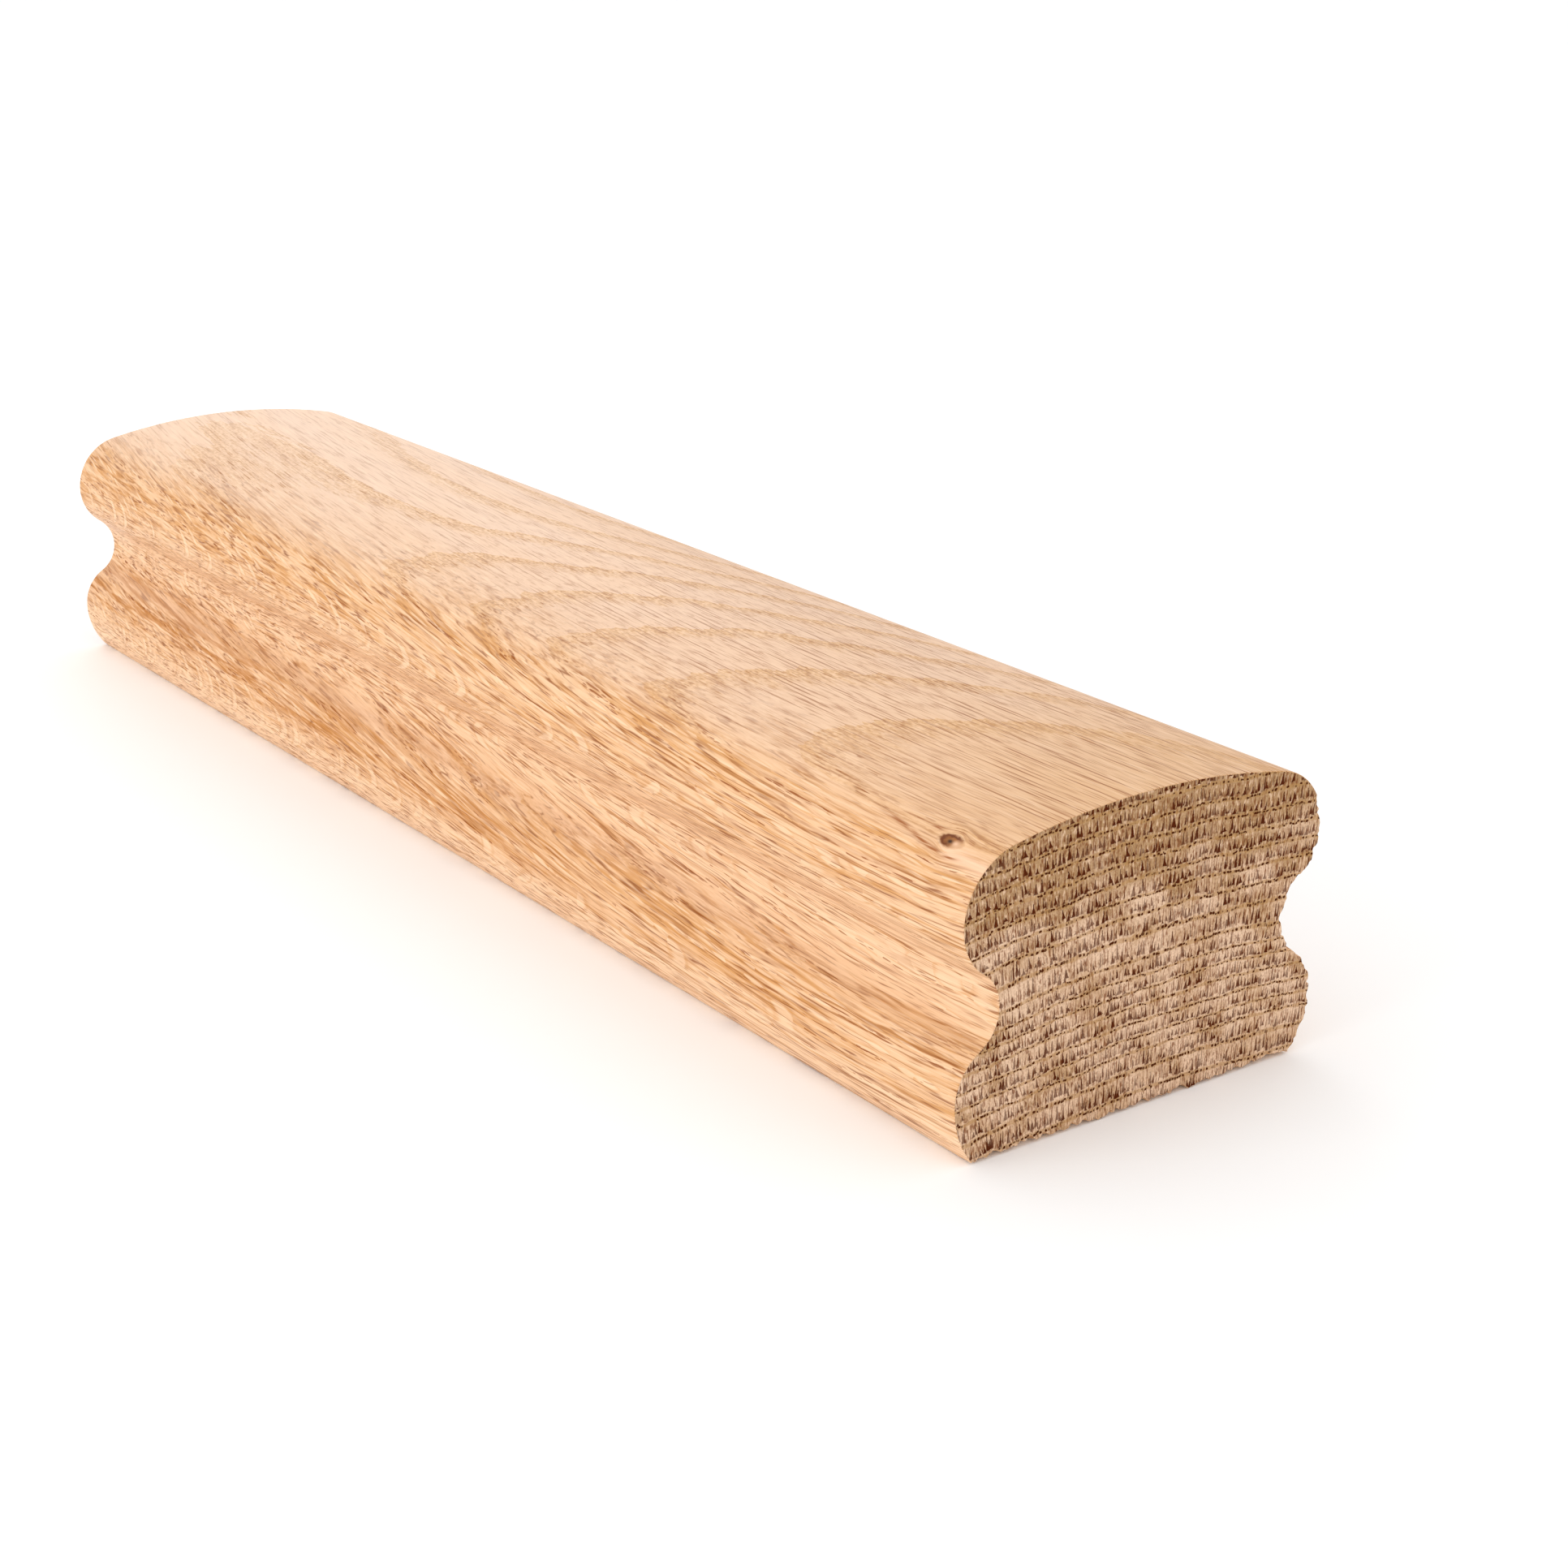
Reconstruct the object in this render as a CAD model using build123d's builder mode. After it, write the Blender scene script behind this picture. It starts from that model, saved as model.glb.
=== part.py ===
"""A short length of solid oak handrail, moulded from one piece of timber and cut square at both ends.

The section is the grip of a stair rail: a shallow crown on top, a round nose on each side for the
palm, a finger cove cut in under each nose, a bead below the cove, and flanks that draw in to a
narrower flat foot. The foot has no groove for balusters.

Millimetres. X runs across the rail, Y along it and Z up. The origin is at the middle of the foot.
"""

import os
from math import sqrt

from build123d import *

# Overall sizes
rail_length = 308.0
rail_height = 50.0
grip_width = 70.0

# Crown and nose
crown_radius = 130.0
nose_radius = 11.0

# Finger cove under the nose
cove_depth = 7.0
cove_radius = 6.8

# Bead below the cove, and the flank that draws in from it to the foot
bead_proud = 0.5
bead_height = 10.0
flank_draw = 3.8
foot_arris = 0.8


def centred_nose():
    """Centre of the nose arc, which touches the side line and runs into the crown without a corner."""
    across = grip_width / 2 - nose_radius
    crown_centre_height = rail_height - crown_radius
    return Vector(across, crown_centre_height + sqrt((crown_radius - nose_radius) ** 2 - across**2))


def turning_point(cove_end, far_end):
    """Where the cove's hollow turns into the round of the nose or the bead, on the line between its ends.

    Two arcs that leave upright ends and meet smoothly have radii that always add up to that line squared
    over twice its sideways step, so the cove's radius sets how far along the line they meet.
    """
    line = far_end - cove_end
    both_radii = line.length**2 / (2 * abs(line.X))
    return cove_end + line * (cove_radius / both_radii)


# Points of the right half of the section, from the crown down: X across, Y of the sketch upwards
nose_centre = centred_nose()
crown_centre = Vector(0, rail_height - crown_radius)
crown_top = Vector(0, rail_height)
shoulder = crown_centre + (nose_centre - crown_centre).normalized() * crown_radius
nose = Vector(grip_width / 2, nose_centre.Y)
bead = Vector(grip_width / 2 + bead_proud, bead_height)
waist = Vector(grip_width / 2 - cove_depth, (nose.Y + bead.Y) / 2)
under_nose = turning_point(waist, nose)
over_bead = turning_point(waist, bead)
foot_corner = Vector(bead.X - flank_draw, 0)
down = (0, -1)

with BuildPart() as handrail:
    with BuildSketch(Plane.XZ) as section:
        with BuildLine():
            crown = TangentArc(crown_top, shoulder, tangent=(1, 0))
            TangentArc(shoulder, nose, tangent=crown % 1)
            nose_underside = TangentArc(nose, under_nose, tangent=down)
            TangentArc(under_nose, waist, tangent=nose_underside % 1)
            cove_foot = TangentArc(waist, over_bead, tangent=down)
            TangentArc(over_bead, bead, tangent=cove_foot % 1)
            TangentArc(bead, foot_corner, tangent=down)
            Line(foot_corner, (0, 0))
            Line((0, 0), crown_top)
        make_face()
        mirror(about=Plane.YZ)
    extrude(amount=rail_length / 2, both=True)
    foot = handrail.faces().sort_by(Axis.Z).first
    fillet(foot.edges().filter_by(Axis.Y), radius=foot_arris)

handrail.part.label = "handrail"
os.makedirs("parts", exist_ok=True)
export_step(handrail.part, "parts/handrail.step")
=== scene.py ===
# %% [markdown]
# # A short length of solid oak handrail
#
# The real thing is one stick of oak. A moulding machine cut its section: a shallow crown, a round nose
# on each side, a finger cove under each nose, a bead, and flanks that draw in to a flat foot. A saw then
# cut both ends square. There is nothing to assemble, so this lesson is about two things: a moulded
# surface worked out from its section, and wood whose grain runs right through the stick, so that the
# rings on the sawn end meet the figure on the planed faces along every edge.

# %% Load the frame
import math

import bmesh
import bpy
import numpy as np
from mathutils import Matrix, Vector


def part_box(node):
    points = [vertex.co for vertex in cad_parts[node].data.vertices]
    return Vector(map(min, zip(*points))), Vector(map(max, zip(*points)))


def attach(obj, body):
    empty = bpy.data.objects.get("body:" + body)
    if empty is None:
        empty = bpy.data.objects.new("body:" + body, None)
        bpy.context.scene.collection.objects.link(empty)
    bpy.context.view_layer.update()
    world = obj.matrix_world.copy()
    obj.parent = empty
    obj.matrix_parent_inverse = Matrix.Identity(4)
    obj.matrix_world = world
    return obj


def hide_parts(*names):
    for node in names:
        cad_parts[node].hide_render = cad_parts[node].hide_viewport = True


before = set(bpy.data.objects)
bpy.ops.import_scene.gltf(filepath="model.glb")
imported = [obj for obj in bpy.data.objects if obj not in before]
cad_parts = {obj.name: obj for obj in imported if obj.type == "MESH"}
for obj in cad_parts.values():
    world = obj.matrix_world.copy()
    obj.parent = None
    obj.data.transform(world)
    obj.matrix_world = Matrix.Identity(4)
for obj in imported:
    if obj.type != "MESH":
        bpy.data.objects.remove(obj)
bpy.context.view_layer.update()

MM = 0.001
low, high = (np.array(corner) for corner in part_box("handrail"))
length = high[1] - low[1]
height = high[2] - low[2]
print(f"rail {high[0] - low[0]:.4f} m wide, {length:.4f} m long, {height:.4f} m high")

# %% [markdown]
# ## The section
#
# A cutter head leaves arcs that run into each other without a corner. Each arc can be described by where
# it starts, the way it heads off and where it ends, because only one circle fits. So the section is drawn
# as a pen would draw it, from the top of the crown down the right side to the foot, and then mirrored.

# %% Sizes of the moulding
bead_proud = 0.5 * MM
grip_width = (high[0] - low[0]) - 2 * bead_proud
crown_radius = 130 * MM
nose_radius = 11 * MM
cove_depth = 7 * MM
cove_radius = 6.8 * MM
bead_height = 10 * MM
flank_draw = 3.8 * MM
foot_arris = 0.8 * MM
outline_step = 0.5 * MM
foot_step = 0.3 * MM
arris_step = 0.15 * MM

# %% An arc from a start, a heading and an end
def arc_points(start, heading, end, step=outline_step):
    """Points from start towards end, end left out, and the heading there.

    The circle's centre lies square to the heading. Its signed distance from the start is the chord
    squared over twice the chord's share along that square direction.
    """
    square = np.array([-heading[1], heading[0]])
    chord = end - start
    radius = chord @ chord / (2 * chord @ square)
    centre = start + radius * square
    turn = 2 * math.atan2(chord @ square, chord @ heading)
    count = max(2, math.ceil(abs(radius * turn) / step))
    angle = np.linspace(0, turn, count + 1)[:, None]
    points = centre - radius * np.cos(angle) * square + radius * np.sin(angle) * heading
    return points[:-1], math.cos(turn) * heading + math.sin(turn) * square

# %% The right half of the section
def turning_point(cove_end, far_end):
    """Where the cove's hollow turns into a round.

    The two radii add up to the chord squared over twice the step across.
    """
    line = far_end - cove_end
    return cove_end + line * cove_radius * 2 * abs(line[0]) / (line @ line)

half_grip = grip_width / 2
crown_centre = np.array([0, height - crown_radius])
nose_across = half_grip - nose_radius
nose_height = crown_centre[1] + math.sqrt((crown_radius - nose_radius) ** 2 - nose_across**2)
nose_centre = np.array([nose_across, nose_height])
shoulder = crown_centre + (nose_centre - crown_centre) * crown_radius / (crown_radius - nose_radius)
crown_top = np.array([0, height])
nose = np.array([half_grip, nose_height])
bead = np.array([half_grip + bead_proud, bead_height])
waist = np.array([half_grip - cove_depth, (nose_height + bead_height) / 2])
foot_corner = np.array([bead[0] - flank_draw, 0])

under_nose, above_bead = turning_point(waist, nose), turning_point(waist, bead)
stops = [crown_top, shoulder, nose, under_nose, waist, above_bead, bead, foot_corner]
heading = np.array([1.0, 0.0])
stretches = []
for start, end in zip(stops, stops[1:]):
    points, heading = arc_points(start, heading, end)
    stretches.append(points)

# The sharp corner between flank and foot is eased by a small arc
foot_turn = math.acos(-heading[0])
eased = foot_arris * math.tan(foot_turn / 2)
flank_end = foot_corner - heading * eased
foot_edge = foot_corner - np.array([eased, 0])
stretches[-1] = stretches[-1][np.hypot(*(stretches[-1] - foot_corner).T) > eased]
arris_points, _ = arc_points(flank_end, heading, foot_edge, step=arris_step)
right_half = np.concatenate(stretches + [arris_points])
foot_count = math.ceil(2 * foot_edge[0] / foot_step)
foot_line = np.linspace(foot_edge, -foot_edge, foot_count + 1)
left_half = right_half[:0:-1] * [-1, 1]
outline = np.concatenate([right_half, foot_line, left_half])
print(f"outline of {len(outline)} points")
print(f"nose at {nose_height / MM:.1f} mm, waist at {waist[1] / MM:.1f} mm")

# %% [markdown]
# ## Torn edges
#
# A saw leaves the wood whole where its teeth enter and tears small chips out where they leave. Here they
# left through the foot and the right side, so those edges of the sawn end are ragged and the others are
# crisp. The chips are real dents in the mesh: points near the end move into the wood, by a random depth
# that changes quickly round the outline and dies away along the rail.

# %% Ragged depth round the outline
def wandering(distance, spacing, random):
    """Random heights from 0 to 1, one every spacing along a distance, joined by straight lines."""
    knots = np.arange(0, distance[-1] + 2 * spacing, spacing)
    return np.interp(distance, knots, random.random(len(knots)))

steps_between = np.hypot(*(np.roll(outline, -1, axis=0) - outline).T)
around = np.concatenate([[0], np.cumsum(steps_between)[:-1]])
tangent = np.roll(outline, -1, axis=0) - np.roll(outline, 1, axis=0)
inward = np.stack([tangent[:, 1], -tangent[:, 0]], axis=1) / np.hypot(*tangent.T)[:, None]
print(f"the outline is {around[-1] / MM:.0f} mm round")

# %% Depth of the chips and how far they run
tear_depth = 1.3 * MM
tear_reach = 1.6 * MM
splinter_width = 0.55 * MM
tooth_width = 1.3 * MM
bite_width = 2.6 * MM
foot_skin = 0.3 * MM
right_side = 20 * MM
below_crown = 8 * MM
arris = 0.1 * MM

def chips(seed, foot_share, right_share, crisp_share):
    """Depth of the chips and their reach along the rail, for every point of the outline.

    Fine splinters, the marks of single teeth and a few larger bites are squared or cubed, so that most
    stay shallow, and added up.
    """
    random = np.random.default_rng(seed)
    on_foot = outline[:, 1] < foot_skin
    on_right = (outline[:, 0] > right_side) & (outline[:, 1] < height - below_crown) & ~on_foot
    share = np.where(on_foot, foot_share, np.where(on_right, right_share, crisp_share))
    splinters = wandering(around, splinter_width, random) ** 2
    teeth = wandering(around, tooth_width, random) ** 2
    bites = wandering(around, bite_width, random) ** 3
    reach = tear_reach * (0.4 + wandering(around, tooth_width, random))
    return tear_depth * share * (0.6 * splinters + 0.5 * teeth + 0.5 * bites), reach

near_chips = chips(seed=11, foot_share=1.0, right_share=0.85, crisp_share=0.04)
far_chips = chips(seed=12, foot_share=0.4, right_share=0.25, crisp_share=0.03)
print(f"deepest chip {near_chips[0].max() / MM:.2f} mm")

# %% [markdown]
# ## The moulded surface
#
# One function of two parameters gives the whole stick: the first runs round the outline, the second along
# the rail. Rows lie close together near the ends, where the chips are, and far apart between them, where
# the section never changes. The two sawn ends are flat, so each is one face with the ragged outline.

# %% Rows along the rail
finest_row = 0.1 * MM
knot_row = 0.7 * MM
widest_row = 4 * MM
close_rows = np.geomspace(finest_row, knot_row, 8)
knot_rows = np.full(16, knot_row)
opening_rows = np.geomspace(knot_row, widest_row, 10)
near_rows = np.concatenate([close_rows, knot_rows, opening_rows])
far_rows = np.sort(np.concatenate([close_rows, opening_rows]))[::-1]
middle = length - near_rows.sum() - far_rows.sum()
middle_count = math.ceil(middle / widest_row)
middle_rows = np.full(middle_count, middle / middle_count)
along = low[1] + np.concatenate([[0], np.cumsum(np.concatenate([near_rows, middle_rows, far_rows]))])
print(f"{len(along)} rows, from {along[0] / MM:.1f} to {along[-1] / MM:.1f} mm")

# %% The knot's pit
# A pin knot sits on the left shoulder, close behind the sawn end
knot_along = 8.8 * MM
knot_across = -30.1 * MM
knot_up = height - 4.25 * MM
knot = np.array([knot_across, low[1] + knot_along, knot_up])
knot_radius = 1.2 * MM
knot_pit = 0.1 * MM

# %% Points of the surface
def moulded(outline, along):
    """A grid of points: the outline moved inwards by the chips and the arris of both ends, and by the knot.

    A chip's depth dies away with the distance from its end as e to the minus (distance / reach) squared.
    The knot's pit is round and dies away in the same way.
    """
    inset = np.zeros((len(along), len(outline)))
    for depth, reach, distance in ((*near_chips, along - along[0]), (*far_chips, along[-1] - along)):
        inset += depth * np.exp(-((distance[:, None] / reach) ** 2))
        inset += np.maximum(0, arris - distance)[:, None]
    places = np.empty((len(along), len(outline), 3))
    places[:, :, 0] = outline[:, 0]
    places[:, :, 1] = along[:, None]
    places[:, :, 2] = outline[:, 1]
    from_knot = np.linalg.norm(places - knot, axis=2)
    inset += knot_pit * np.exp(-((from_knot / knot_radius) ** 2))
    places[:, :, 0] += inset * inward[:, 0]
    places[:, :, 2] += inset * inward[:, 1]
    return places

places = moulded(outline, along)
print("surface", places.shape, "lowest", places[..., 2].min(), "highest", places[..., 2].max())

# %% Faces of the surface and of the two sawn ends
rows, columns = places.shape[:2]
corner = np.arange(rows * columns).reshape(rows, columns)
beside = np.roll(corner, -1, axis=1)
quads = np.stack([corner[:-1], beside[:-1], beside[1:], corner[1:]], axis=-1).reshape(-1, 4)
faces = [tuple(face) for face in quads.tolist()]
faces.append(tuple(corner[0, ::-1].tolist()))
faces.append(tuple(corner[-1].tolist()))

rail_mesh = bpy.data.meshes.new("moulded_rail")
rail_mesh.from_pydata(places.reshape(-1, 3).tolist(), [], faces)
rail_mesh.update()
rail = bpy.data.objects.new("moulded_rail", rail_mesh)
bpy.context.scene.collection.objects.link(rail)

# The planed faces are shaded smooth, the sawn ends flat, and sharp edges stay sharp
sharp_angle = math.radians(35)
is_end = np.zeros(len(faces), dtype=bool)
is_end[-2:] = True
rail_mesh.polygons.foreach_set("use_smooth", ~is_end)
rail_mesh.polygons.foreach_set("material_index", is_end.astype(np.int32))
rail_mesh.set_sharp_from_angle(angle=sharp_angle)

check = bmesh.new()
check.from_mesh(rail_mesh)
volume = check.calc_volume(signed=True)
open_edges = sum(not edge.is_manifold for edge in check.edges)
check.free()
print(f"{len(faces)} faces, volume {volume * 1e6:.1f} cubic centimetres, {open_edges} open edges")

# %% [markdown]
# ## A way to write shaders as formulas
#
# The grain is worked out in the shader from the place of each point, so it runs through the whole stick.
# Node trees of that size are hard to read as wires. One small class wraps a socket, and arithmetic on it
# adds the Math nodes, so that a shader reads like the sums it stands for.

# %% A socket that can be added and multiplied
class Shade:
    """A socket of a material's node tree. Sums on it add Math nodes; node() adds any other kind."""

    def __init__(self, tree, socket=None):
        self.tree = tree
        self.socket = socket

    def node(self, kind, settings=None, inputs=None, output=0):
        """A new node in the same tree. Its settings go in first, then the values or links of its sockets.

        A socket goes by its name, or by its number where a node has several of one name.
        """
        made = self.tree.nodes.new(kind)
        for name, value in (settings or {}).items():
            setattr(made, name, value)
        for place, value in (inputs or {}).items():
            if isinstance(value, Shade):
                self.tree.links.new(value.socket, made.inputs[place])
            else:
                made.inputs[place].default_value = value
        return Shade(self.tree, made.outputs[output])

    def beside(self, output):
        """Another output of the same node."""
        return Shade(self.tree, self.socket.node.outputs[output])

    def math(self, operation, *values):
        return self.node("ShaderNodeMath", {"operation": operation}, dict(enumerate(values)))

    def __add__(self, other):
        return self.math("ADD", self, other)

    def __sub__(self, other):
        return self.math("SUBTRACT", self, other)

    def __rsub__(self, other):
        return self.math("SUBTRACT", other, self)

    def __mul__(self, other):
        return self.math("MULTIPLY", self, other)

    def __truediv__(self, other):
        return self.math("DIVIDE", self, other)

    def __rtruediv__(self, other):
        return self.math("DIVIDE", other, self)

    __radd__ = __add__
    __rmul__ = __mul__

print("sums on sockets ready")

# %% Helpers that need more than one sum
def vector(x, y, z):
    """Three numbers as one vector socket. At least one of them is a socket."""
    shade = next(value for value in (x, y, z) if isinstance(value, Shade))
    return shade.node("ShaderNodeCombineXYZ", inputs={"X": x, "Y": y, "Z": z})

def between(value, start, end):
    """0 at start, 1 at end, with a soft turn at both: 3s squared minus 2s cubed of the share s."""
    ends = {"Value": value, "From Min": start, "From Max": end}
    return value.node("ShaderNodeMapRange", {"interpolation_type": "SMOOTHSTEP"}, ends)

def hump(value, centre, width):
    """1 at the centre, dying away as e to the minus (distance / width) squared."""
    distance = (value - centre) / width
    return distance.math("EXPONENT", distance * distance * -1.0)

def noise(x, y, z, detail=1.0, rough=0.5):
    """Soft random hills about 0.5, one for every unit of x, y and z, with finer hills on them by detail."""
    where = vector(x, y, z)
    hills = {"Vector": where, "Scale": 1.0, "Detail": detail, "Roughness": rough}
    return where.node("ShaderNodeTexNoise", inputs=hills)

def scattered(x, y, z):
    """One point in every unit cell at random: how far away the nearest lies along x, y and z, and its own
    three random numbers from 0 to 1."""
    where = vector(x, y, z)
    cells = {"Vector": where, "Scale": 1.0, "Randomness": 1.0}
    colour = where.node("ShaderNodeTexVoronoi", inputs=cells, output="Color")
    nearest = colour.beside("Position")
    away = where.node("ShaderNodeVectorMath", {"operation": "SUBTRACT"}, {0: where, 1: nearest})
    away = away.node("ShaderNodeSeparateXYZ", inputs={"Vector": away})
    dice = colour.node("ShaderNodeSeparateXYZ", inputs={"Vector": colour})
    return (away, away.beside(1), away.beside(2)), (dice, dice.beside(1), dice.beside(2))

def size_of(value):
    """The value without its sign."""
    return value.math("ABSOLUTE", value)

def mixed(share, first, second):
    """The first colour where the share is 0, the second where it is 1.

    A Mix node takes its share at socket 0 and its colours at 6 and 7, and gives a colour at output 2.
    """
    return share.node("ShaderNodeMix", {"data_type": "RGBA"}, {0: share, 6: first, 7: second}, output=2)

def paint(red, green, blue):
    """A colour as a screen shows it, each part from 0 to 255, as the linear light that a shader takes."""
    part = np.array([red, green, blue]) / 255
    light = np.where(part <= 0.04045, part / 12.92, ((part + 0.055) / 1.055) ** 2.4)
    return (*light.tolist(), 1.0)

print("mid oak is", [round(part, 2) for part in paint(222, 184, 140)])

# %% [markdown]
# ## Where a point grew
#
# Oak is rings of growth, and the figure on a board is what a flat cut through those rings shows. On the
# sawn end the rings lie as shallow arches, a little under 3 mm apart. Along the rail the trunk leaned and
# swelled, so the planed top cuts through ring after ring and shows nested arches, while the sides cut
# them edge on and show straight lines. All of that comes from one number: the height of a point above
# the foot before the trunk bent, which the shader works out from the point's place.

# %% Shape of the trunk and of the knot, in millimetres
ring_width = 2.88
first_ring = 48.1
swell_height = 16.1
swell_end = 195.0
early_swell = 0.72
late_swell = 1.18
lean = 0.216
lean_length = 325.0
lean_back = 0.00019
arch_middle = 3.7
arch_shift = 0.0067
arch_radius = 288.0
grain_drift = 0.0003
knot_x, knot_y, knot_z = knot_across / MM, knot_along / MM, knot_up / MM
knot_out = (-0.55, 0.835)
knot_post = 1.5
knot_depth = 6.0

# %% The coordinates of the grain
def growth(tree):
    """Names every measure of the grain: across, up and along the trunk, the ring's number and share.

    The height in the trunk is the height of the point, less a rise along the rail that follows half a
    cosine wave with two low humps on it, less a lean that follows a sine wave, plus the arch: the
    distance from the middle squared over twice the radius. Soft noise makes the rings wander. A knot
    pushes the grain aside like a post in a stream: its distance across shrinks by the post's radius
    squared over the distance squared. The ring's number is the height over the width of a ring, with
    one spell of slow years and one of good years.
    """
    shade = Shade(tree)
    place = shade.node("ShaderNodeTexCoord", output="Object")
    place = shade.node("ShaderNodeVectorMath", {"operation": "SCALE"}, {"Vector": place, "Scale": 1 / MM})
    x = shade.node("ShaderNodeSeparateXYZ", inputs={"Vector": place})
    along = x.beside(1) - float(low[1] / MM)
    z = x.beside(2)

    knot_side = (x - knot_x) * knot_out[1] - (z - knot_z) * knot_out[0]
    knot_deep = (x - knot_x) * knot_out[0] + (z - knot_z) * knot_out[1]
    knot_far = along - knot_y
    knot_gap = knot_side * knot_side + knot_far * knot_far
    push = knot_side * hump(knot_deep, 0, knot_depth) * (knot_post**2 / (knot_gap + 0.5))
    x_straight = x - push * knot_out[1]
    z_straight = z + push * knot_out[0]

    wave = shade.math("COSINE", shade.math("MINIMUM", along, swell_end) * (math.pi / swell_end))
    rise = (1 - wave) * (swell_height / 2)
    rise = rise + hump(along, 62, 35) * early_swell + hump(along, 207, 45) * late_swell
    tilt = shade.math("SINE", along * (math.pi / lean_length)) * lean - along * lean_back
    off_middle = x_straight - arch_middle + along * arch_shift
    arch = off_middle * off_middle / (2 * arch_radius)
    wobble = (noise(x / 14, z / 14, along / 90) - 0.5) * 1.5
    wobble = wobble + (noise(x / 2.2, z / 2.2, along / 16) - 0.5) * 0.6
    wobble = wobble + (noise(x / 0.7, z / 0.7, along / 6) - 0.5) * 0.28
    up = z_straight - rise - tilt * x_straight + arch + wobble

    slow_years = hump(up, 23.3, 4.2) * -1.25
    good_years = hump(up, 8.3, 4.0) * 1.2
    count = (up - slow_years - good_years - first_ring) / ring_width
    ring = shade.math("FLOOR", count)
    across = x_straight - along * along * grain_drift - off_middle * (z - 25) / arch_radius
    return {
        "shade": shade, "x": x, "z": z, "along": along, "up": up, "across": across, "ring": ring,
        "share": count - ring, "knot_side": knot_side, "knot_deep": knot_deep, "knot_far": knot_far,
    }

# %% [markdown]
# ## What the wood is made of
#
# Four things draw the figure of oak. Vessels are open tubes that grew in spring, in a row or two at the
# start of every ring. Above them stand pale-edged dark wedges of smaller pores, the flames. Rays are
# upright sheets that run out from the pith: thin lines on the sawn end, short dashes on the crown, and
# pale flecks on the sides. Fibres fill the rest. Each is a pattern in the grain's own coordinates, so a
# vessel that shows as a dot on the end is a dash on the side.

# %% Vessels and flames
def vessels(grain, gap, wide, tall, long, spread):
    """Tubes with pointed ends, one to a cell, each at its own height in the first share of a ring.

    A point is inside where the squares of its distances from the tube's middle, each over the tube's
    half size that way, add up to less than 1.
    """
    (aside, ahead, _), (strong, climb, _) = scattered(
        grain["across"] / gap + grain["ring"] * 3.7, grain["along"] / long + grain["ring"] * 5.3, 0)
    beside = aside * (2 * gap / wide)
    above = (grain["share"] - climb * spread - 0.05) * (2 * ring_width / tall)
    inside = 1 - beside * beside - above * above - ahead * ahead * 4
    return between(inside, -0.35, 0.35) * between(strong, 0.05, 0.45)

def flames(grain, spacing, base, shortest, tallest):
    """Wedges that stand above the row of vessels at odd heights, each drawn out into a fine spire.

    Half the width shrinks to nothing over the wedge's own height, as the square of what is left, and the
    spire adds a hair to it. The strong ones have broad bases. Fine noise frays the edges.
    """
    (aside, _, _), (tall, strong, bent) = scattered(
        grain["across"] / spacing + grain["ring"] * 17.3, grain["along"] / 16 + grain["ring"] * 5.1, 0)
    fray = noise(grain["across"] / 0.15, grain["up"] / 0.4, grain["along"] / 6) - 0.5
    climb = (grain["share"] - 0.2 - bent * 0.22) * ring_width
    left = 1 - climb / (tall * (tallest - shortest) + shortest)
    half_width = left * left * (strong + 0.4) * (base / 2) + 0.06
    drift = climb * (bent - 0.5) * 0.25
    inside = half_width - size_of(aside * spacing + drift) + fray * 0.2
    standing = between(climb, -0.1, 0.06) * between(left, 0.0, 0.12)
    return between(inside, -0.04, 0.04) * standing * between(strong, -0.1, 0.55)

# %% Rays
def rays(grain, gap, tall, long, thick):
    """One thin upright sheet to a cell, tapered towards its ends along the trunk.

    The first number says how far inside its sheet a point is, the second how strong that sheet shows.
    """
    (aside, above, ahead), (strong, _, _) = scattered(
        grain["across"] / gap, grain["up"] / tall, grain["along"] / long)
    taper = 1 - ahead * ahead * 4.0
    inside = taper * (thick / 2) - size_of(aside) * gap
    return inside, between(size_of(above), 0.48, 0.4) * between(strong, 0.1, 0.6)

print("grain helpers ready")

# %% Colours of the wood, two of them also used as painted light
straw = paint(228, 184, 143)
honey = paint(212, 161, 110)
gold = paint(198, 136, 66)
umber = paint(130, 66, 12)
# Pale flecks of the wood; the same colour is also painted light on the shaded cove and low flank
fleck_and_painted_light = paint(240, 203, 166)
# Pale ground of the crown: the wood's own tone, made bluer as painted sheen
peach_and_painted_sheen = paint(225, 188, 157)
band_gold = paint(212, 162, 104)
band_brown = paint(174, 116, 58)
ray_brown = paint(150, 86, 28)
vessel_brown = paint(142, 72, 12)
mineral_brown = paint(182, 114, 36)
end_pale = paint(212, 174, 138)
end_pink = paint(236, 201, 170)
end_olive = paint(178, 141, 99)
end_spring = paint(176, 130, 74)
end_hair = paint(122, 66, 28)
end_flame = paint(82, 31, 4)
end_vessel = paint(78, 30, 0)

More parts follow.
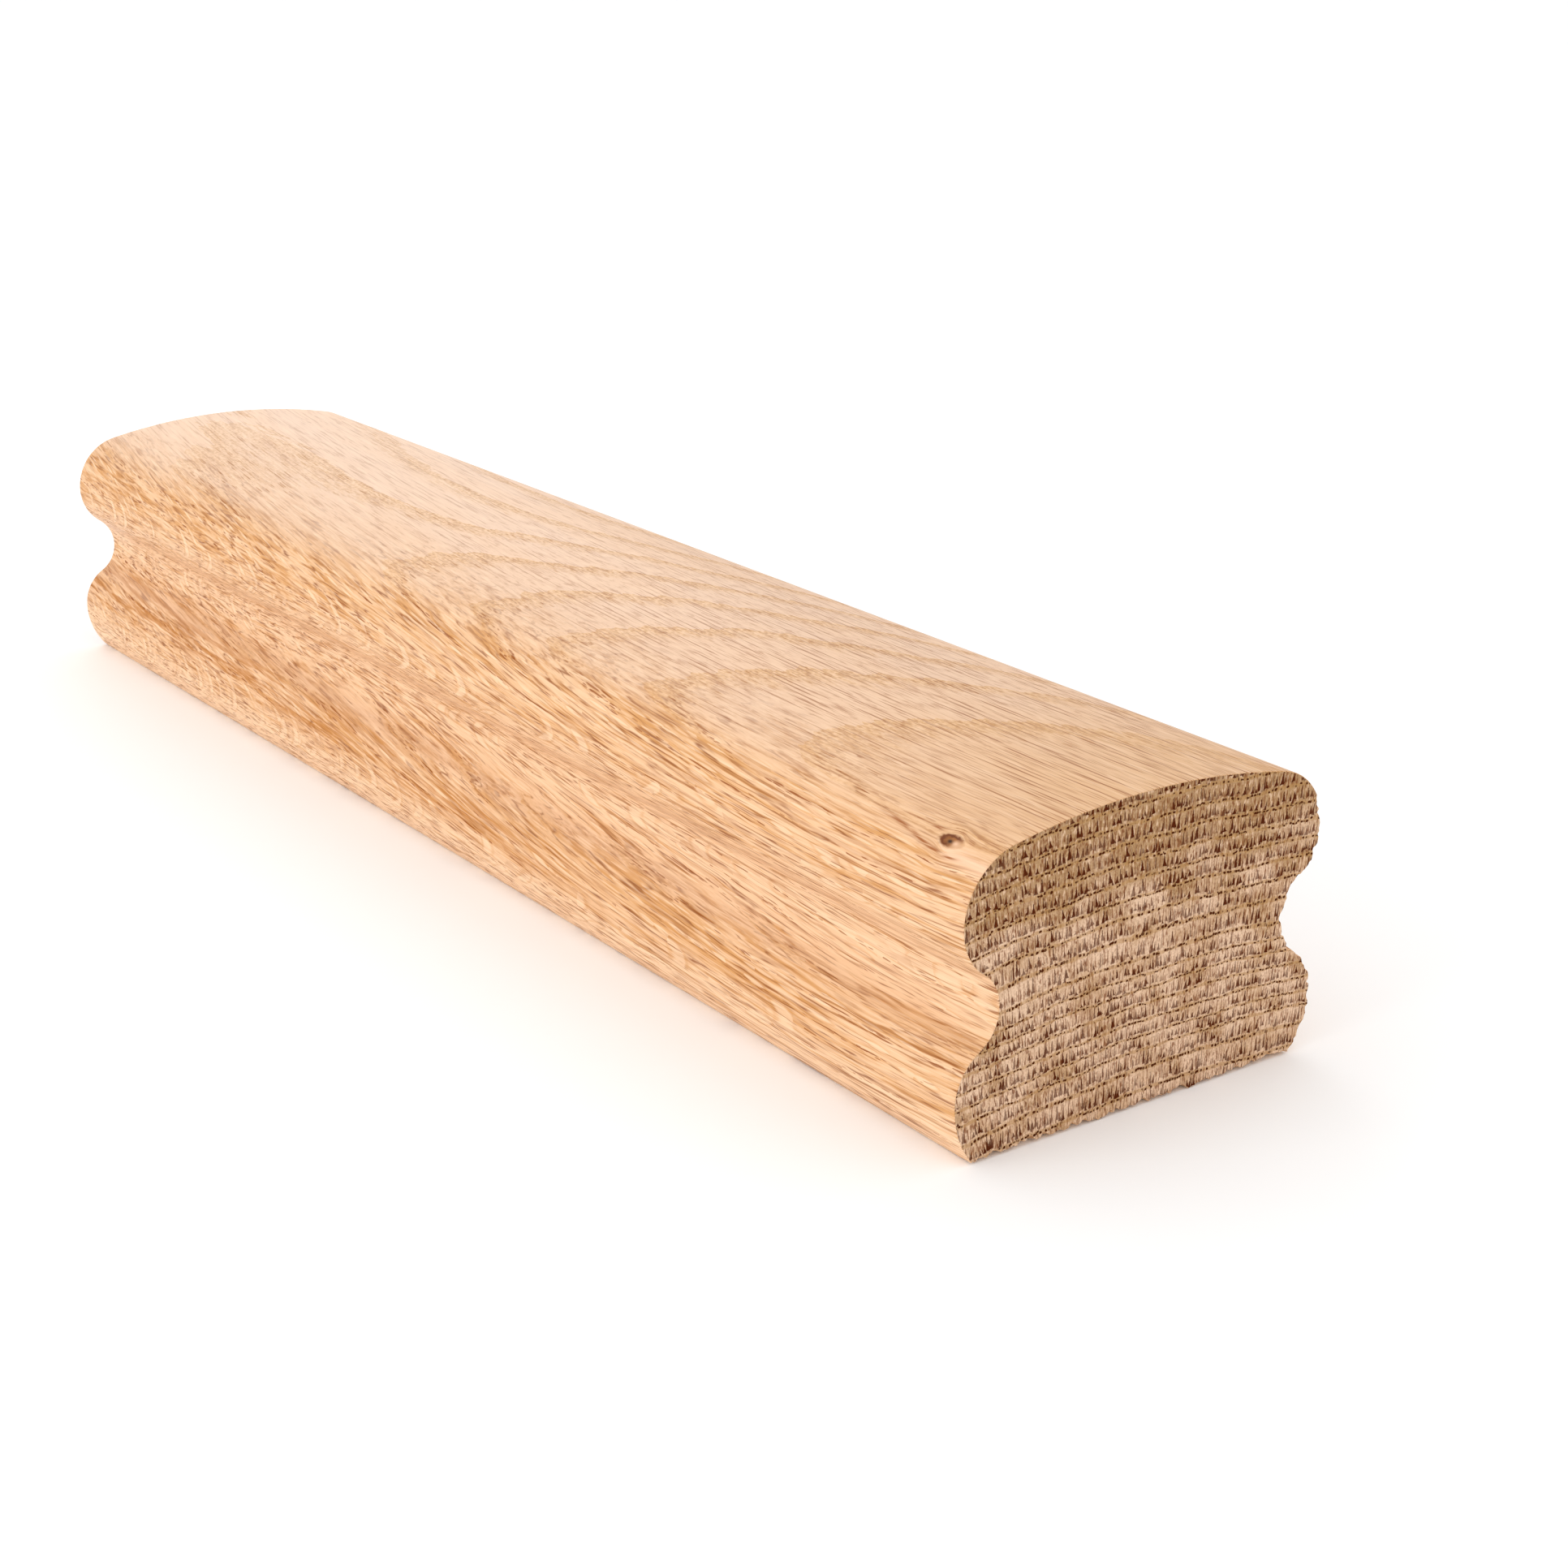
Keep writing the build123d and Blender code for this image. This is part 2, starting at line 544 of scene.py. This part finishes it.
# %% Crown
def crown_colour(grain):
    """Flat-sawn wood: a pale ground with some painted sheen in it, a gritty golden band at the foot of each
    ring, dark dashes of rays.
    """
    x, z, across, up, along, share = (grain[key] for key in ("x", "z", "across", "up", "along", "share"))
    cloud = noise(across / 9, up / 7, along / 70)
    grit = noise(x / 0.38, z / 0.38, along / 1.1)
    zigzag = (noise(across / 0.8, up / 3, along / 5) - 0.5) * 0.35
    # The pale ground carries painted sheen as well as the wood's own tone
    crown = mixed(between(cloud, 0.3, 0.7) * 0.4, peach_and_painted_sheen, straw)
    spring = between(share + zigzag, 0.42, 0.0)
    spring = spring * (1 - between(along, 200, 280) * 0.4)
    crown = mixed(spring * 0.75, crown, band_gold)
    crown = mixed(spring * between(grit, 0.5, 0.66) * 0.6, crown, band_brown)
    crown = mixed(spring * between(grit, 0.48, 0.34) * 0.5, crown, fleck_and_painted_light)
    crown = mixed(between(along, 70, -10) * 0.6, crown, band_gold)
    inside, strong = rays(grain, gap=1.0, tall=16, long=16, thick=0.25)
    near_end = between(along, 220, 10) * 0.6
    crown = mixed(between(inside, -0.04, 0.05) * strong * (near_end + 0.3), crown, ray_brown)
    inside, strong = rays(grain, gap=0.55, tall=8, long=7, thick=0.16)
    return mixed(between(inside, -0.04, 0.05) * strong * (near_end + 0.05), crown, ray_brown)

# %% Sides
def side_colour(grain):
    """Rift and quarter-sawn wood: golden streaks, hair lines, pale flecks where a ray grazes it, and
    painted light in the shaded cove and low flank.
    """
    x, z, across, up, along = (grain[key] for key in ("x", "z", "across", "up", "along"))
    streak = noise(across / 2.6, up / 1.1, along / 55, detail=5, rough=0.65)
    hair = noise(across / 0.8, up / 0.36, along / 22, detail=2)
    line = hump(noise(across / 1.3, up / 0.9, along / 40), 0.5, 0.03)
    broken = between(noise(across, up / 0.5, along / 6), 0.42, 0.62)
    stain = hump(z - along * 0.02, 12, 6) * 0.06
    stain = stain + hump(z, 41, 6) * (between(along, 100, 260) * 0.06 + 0.03)
    side = mixed(between(streak + stain, 0.42, 0.66) * 0.75, straw, honey)
    # Painted light: the cove under the nose and the low flank are paled to make up for the shade that falls
    # there
    painted_fill_light = hump(z, 26, 7) * (between(along, 120, 0) * 0.4 + 0.8) + between(z, 11, 4) * 1.1
    side = mixed(painted_fill_light * between(streak, 0.3, 0.56), side, fleck_and_painted_light)
    side = mixed(between(streak + hair + stain, 1.02, 1.2) * 0.65, side, gold)
    side = mixed(between(hair, 0.58, 0.68) * 0.5, side, umber)
    side = mixed(between(hair, 0.44, 0.32) * 0.35, side, fleck_and_painted_light)
    side = mixed(line * broken * 0.85, side, umber)
    inside, strong = rays(grain, gap=0.9, tall=7, long=6, thick=0.24)
    side = mixed(hump(inside, -0.07, 0.05) * strong * 0.3, side, gold)
    side = mixed(between(inside, -0.03, 0.04) * strong * 0.6, side, fleck_and_painted_light)
    mineral = hump(z - along * 0.025, 8.6, 3.6) * between(along, 50, 150) * between(x, -22, -30)
    mineral = mineral * between(noise(across / 3, up / 0.5, along / 36, detail=2), 0.42, 0.58)
    return mixed(mineral * 0.75, side, mineral_brown)

# %% Knot
knot_rim = paint(104, 48, 2)
knot_halo = paint(168, 104, 44)
knot_tail = paint(156, 92, 44)
knot_pupil = paint(40, 14, 0)
knot_pink = paint(240, 198, 164)

def knot_colour(grain, colour):
    """An eye of dark bark with a pale heart and a pupil, and the brown tail that it drew out in the grain.

    The eye's size is the root of the squares of both distances, each with its own share, so it is oval.
    """
    side, far = grain["knot_side"], grain["knot_far"]
    near = hump(grain["knot_deep"], 0, 4.0)
    fray = (noise(side / 0.6, far / 0.9, 0, detail=2) - 0.5) * 0.6
    eye = near.math("SQRT", side * side * 0.9 + far * far * 0.2) + fray
    streaky = between(noise(side / 0.3, 0, far / 5), 0.3, 0.5)
    tail = hump(side + hump(far, 0, 9) * 2.3, 0, 0.34) * between(far, 0, 1.5) * between(far, 18, 11)
    tail = tail + hump(side + far * 0.15, -2.6, 0.24) * hump(far, -1.5, 1.6)
    tail = tail + hump(side, 1.1, 0.22) * hump(far, 4.2, 1.4)
    colour = mixed(hump(side, -1.9, 1.2) * between(far, 1, -1.5) * near * 0.8, colour, knot_pink)
    colour = mixed(tail * streaky * near, colour, knot_tail)
    open_side = between(far + side, -2.0, 0.4)
    colour = mixed(between(eye, 1.25, 0.85) * near * (open_side * 0.6 + 0.35), colour, knot_halo)
    colour = mixed(hump(eye, 0.85, 0.3) * open_side * near, colour, knot_rim)
    colour = mixed(hump(side, -0.1, 0.4) * hump(far, -0.8, 0.6) * near * 0.7, colour, knot_pink)
    return mixed(hump(side, -0.1, 0.42) * hump(far, 0.4, 0.6) * near, colour, knot_pupil)

# %% Planed faces
def planed_oak(name):
    """Material of the long faces, which blends from the crown's figure to the sides' with their slope."""
    material = bpy.data.materials.new(name)
    material.use_nodes = True
    tree = material.node_tree
    shader = tree.nodes["Principled BSDF"]
    grain = growth(tree)
    across, up, along = (grain[key] for key in ("across", "up", "along"))
    flat = grain["shade"].node("ShaderNodeAttribute", {"attribute_name": "flat_sawn"}, output="Fac")
    flat = between(flat, 0.62, 0.97) * (1 - between(grain["x"], -12, -27) * 0.45)
    colour = mixed(flat, side_colour(grain), crown_colour(grain))

    fibre = noise(across / 0.6, up / 0.5, along / 12, detail=3, rough=0.6)
    colour = mixed(between(fibre, 0.52, 0.68) * 0.35, colour, ray_brown)
    colour = mixed(between(fibre, 0.48, 0.32) * 0.35, colour, fleck_and_painted_light)
    patch = between(noise(across / 12, grain["ring"] * 3.7, along / 40), 0.32, 0.5)
    vessel = vessels(grain, gap=0.5, wide=0.3, tall=0.22, long=7.0, spread=0.3) * patch
    colour = mixed(vessel * (0.8 - flat * 0.62), colour, vessel_brown)
    pore = vessels(grain, gap=0.24, wide=0.18, tall=0.15, long=2.6, spread=0.2) * patch
    colour = mixed(pore * (0.8 - flat * 0.7), colour, vessel_brown)
    wedge = flames(grain, spacing=0.9, base=0.5, shortest=0.6, tallest=1.9) * (1 - flat)
    colour = mixed(wedge * 0.25, colour, ray_brown)
    colour = knot_colour(grain, colour)
    tree.links.new(colour.socket, shader.inputs["Base Color"])

    dullness = fibre * 0.14 + vessel * 0.25 + 0.39
    tree.links.new(dullness.socket, shader.inputs["Roughness"])
    shader.inputs["Specular IOR Level"].default_value = 0.22
    hollows = vessel * -0.5 + fibre * 0.4
    relief = {"Strength": 0.5, "Distance": 0.2 * MM, "Height": hollows}
    bump = hollows.node("ShaderNodeBump", inputs=relief)
    tree.links.new(bump.socket, shader.inputs["Normal"])
    print(name, len(tree.nodes), "nodes")
    return material

# %% Sawn ends
def sawn_oak(name):
    """Material of the two ends: the same rings cut square, where the open pores drink the light."""
    material = bpy.data.materials.new(name)
    material.use_nodes = True
    tree = material.node_tree
    shader = tree.nodes["Principled BSDF"]
    grain = growth(tree)
    across, up, along, share = (grain[key] for key in ("across", "up", "along", "share"))

    fuzz = noise(across / 0.3, up / 0.35, along / 0.5, detail=2)
    cloud = noise(across / 7, up / 6, along / 70, detail=2)
    colour = mixed(between(cloud, 0.38, 0.62), end_pink, end_pale)
    high_zone = between(grain["z"] + (cloud - 0.5) * 30, 27, 42)
    colour = mixed(high_zone * 0.85, colour, end_olive)
    colour = mixed(between(cloud, 0.56, 0.7) * 0.6, colour, end_olive)
    colour = mixed(between(fuzz, 0.62, 0.34) * 0.3, colour, end_hair)
    stroke = noise(across / 0.4, up / 1.3, along / 8)
    colour = mixed(between(stroke, 0.54, 0.7) * 0.75, colour, end_hair)
    colour = mixed(between(stroke, 0.46, 0.3) * 0.7, colour, end_pink)
    spring = between(share, 0.23, 0.17) * between(share, -0.02, 0.02)
    colour = mixed(spring * 0.5, colour, end_spring)
    strokes = flames(grain, spacing=0.55, base=0.14, shortest=0.8, tallest=2.6)
    colour = mixed(strokes * 0.7, colour, end_hair)
    dark_zone = between(cloud + high_zone * 0.12, 0.42, 0.6) * 0.3 + 0.7
    wedge = flames(grain, spacing=0.85, base=0.6, shortest=0.5, tallest=2.2) * dark_zone
    colour = mixed(wedge, colour, end_flame)
    inside, strong = rays(grain, gap=1.5, tall=12, long=13, thick=0.16)
    colour = mixed(between(inside, -0.04, 0.04) * strong * 0.45, colour, end_hair)
    vessel = vessels(grain, gap=0.6, wide=0.56, tall=0.38, long=4.5, spread=0.1)
    colour = mixed(vessel, colour, end_vessel)
    tree.links.new(colour.socket, shader.inputs["Base Color"])

    dullness = fuzz * 0.2 + 0.75
    tree.links.new(dullness.socket, shader.inputs["Roughness"])
    shader.inputs["Specular IOR Level"].default_value = 0.05
    hollows = vessel * -1.0 + wedge * -0.8 + fuzz * 0.8
    relief = {"Strength": 0.7, "Distance": 0.25 * MM, "Height": hollows}
    bump = hollows.node("ShaderNodeBump", inputs=relief)
    tree.links.new(bump.socket, shader.inputs["Normal"])
    print(name, len(tree.nodes), "nodes")
    return material

# %% Dress the rail
rail_mesh.materials.append(planed_oak("planed_oak"))
rail_mesh.materials.append(sawn_oak("sawn_oak"))

flat_sawn = rail_mesh.attributes.new("flat_sawn", "FLOAT", "POINT")
flat_sawn.data.foreach_set("value", np.tile(np.abs(inward[:, 1]), rows))

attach(rail, "root")
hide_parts("handrail")

# %% [markdown]
# ## Studio
#
# A white floor and a white sky light the wood evenly from all sides. One soft lamp to the left lifts the
# moulded side, and one behind the far end slides a sheen along the crown.

# %% Floor
reach = 6.0
floor_corners = [(-reach, -reach, 0), (reach, -reach, 0), (reach, reach, 0), (-reach, reach, 0)]
floor_mesh = bpy.data.meshes.new("studio_floor")
floor_mesh.from_pydata(floor_corners, [], [(0, 1, 2, 3)])
studio_floor = bpy.data.objects.new("studio_floor", floor_mesh)
bpy.context.scene.collection.objects.link(studio_floor)
floor_paint = bpy.data.materials.new("floor_paint")
floor_paint.use_nodes = True
floor_shader = floor_paint.node_tree.nodes["Principled BSDF"]
floor_shader.inputs["Base Color"].default_value = (0.97, 0.97, 0.97, 1)
floor_shader.inputs["Roughness"].default_value = 0.9
floor_mesh.materials.append(floor_paint)

# %% Light
from mathutils import Matrix, Vector

world = bpy.data.worlds.new("white_sky")
bpy.context.scene.world = world
world.use_nodes = True
sky = world.node_tree.nodes["Background"]
sky.inputs["Color"].default_value = (1, 1, 1, 1)
sky.inputs["Strength"].default_value = 1.05

def soft_lamp(name, place, target, size, power):
    """A square soft light at a place, turned to a target."""
    light = bpy.data.lights.new(name, "AREA")
    light.size = size
    light.energy = power
    lamp = bpy.data.objects.new(name, light)
    lamp.location = place
    lamp.rotation_euler = (Vector(target) - Vector(place)).to_track_quat("-Z", "Y").to_euler()
    bpy.context.scene.collection.objects.link(lamp)

soft_lamp("side_lamp", place=(-1.0, 0.0, 0.3), target=(0, 0, 0.03), size=0.8, power=4.0)
soft_lamp("sheen_lamp", place=(0.5, 1.4, 0.55), target=(0, 0.1, 0.05), size=0.9, power=3.0)

# %% Camera
# It looks down the left side from a little above. The roll is the tilt of the hand that held the camera
camera_place = (-0.25155, -0.40635, 0.17644)
azimuth, elevation, roll = np.radians([-36.40, 19.74, 0.65])
ahead = np.array([-math.sin(azimuth), math.cos(azimuth), 0])
forward = ahead * math.cos(elevation) - np.array([0, 0, math.sin(elevation)])
level = np.array([math.cos(azimuth), math.sin(azimuth), 0])
upward = np.cross(level, forward)
right = level * math.cos(roll) + upward * math.sin(roll)
top = -level * math.sin(roll) + upward * math.cos(roll)

camera_data = bpy.data.cameras.new("camera")
camera_data.sensor_width = 36
camera_data.lens = 60.85
camera = bpy.data.objects.new("camera", camera_data)
turn = Matrix(np.stack([right, top, -forward], axis=1).tolist()).to_4x4()
camera.matrix_world = Matrix.Translation(camera_place) @ turn
bpy.context.scene.collection.objects.link(camera)
bpy.context.scene.camera = camera
bpy.context.scene.view_settings.view_transform = "Standard"
print("camera", [round(part, 3) for part in camera.matrix_world.translation])
